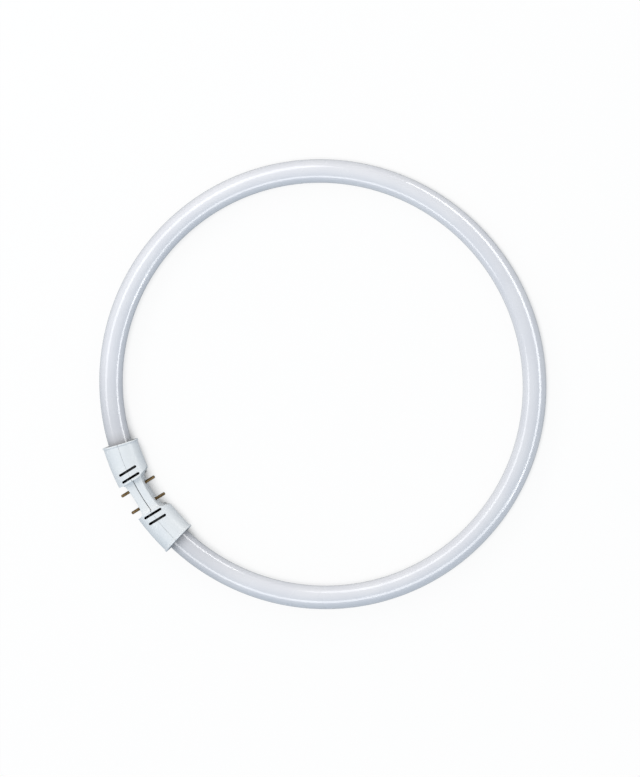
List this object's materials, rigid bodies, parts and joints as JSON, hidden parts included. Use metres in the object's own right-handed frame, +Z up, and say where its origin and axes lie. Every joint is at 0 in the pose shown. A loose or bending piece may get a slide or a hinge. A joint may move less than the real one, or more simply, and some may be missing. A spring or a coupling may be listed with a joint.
{
  "type": "circular fluorescent tube",
  "caption": "Ring-shaped fluorescent lamp: a white coated glass tube whose ends meet in a moulded cap with contact pins on both flanks of its waist.",
  "frame": {"origin": "on the surface that the lamp lies on, under the middle of its outline; the ring's own axis is 2.7 mm from it towards +Y", "axes": "+Z up, along the ring's axis; -Y towards the cap, along its two outer pins; +X to the right when the cap is nearest the viewer"},
  "size_m": [0.2984, 0.3038, 0.0244],
  "materials": {
    "coated_glass": "glossy glass over an opaque white coating",
    "cap_plastic": "satin moulded white plastic",
    "pin_brass": "dull brown brass",
    "lead_wire": "plain drawn wire",
    "cement": "dull set cement"
  },
  "bodies": {
    "root": {"glass_tube": "coated_glass", "cap_inner_half": "cap_plastic", "cap_outer_half": "cap_plastic", "cement_ring_left": "cement", "pin_inner_left": "pin_brass", "lead_inner_left": "lead_wire", "pin_outer_left": "pin_brass", "lead_outer_left": "lead_wire", "cement_ring_right": "cement", "pin_inner_right": "pin_brass", "lead_inner_right": "lead_wire", "pin_outer_right": "pin_brass", "lead_outer_right": "lead_wire"}
  },
  "joints": []
}
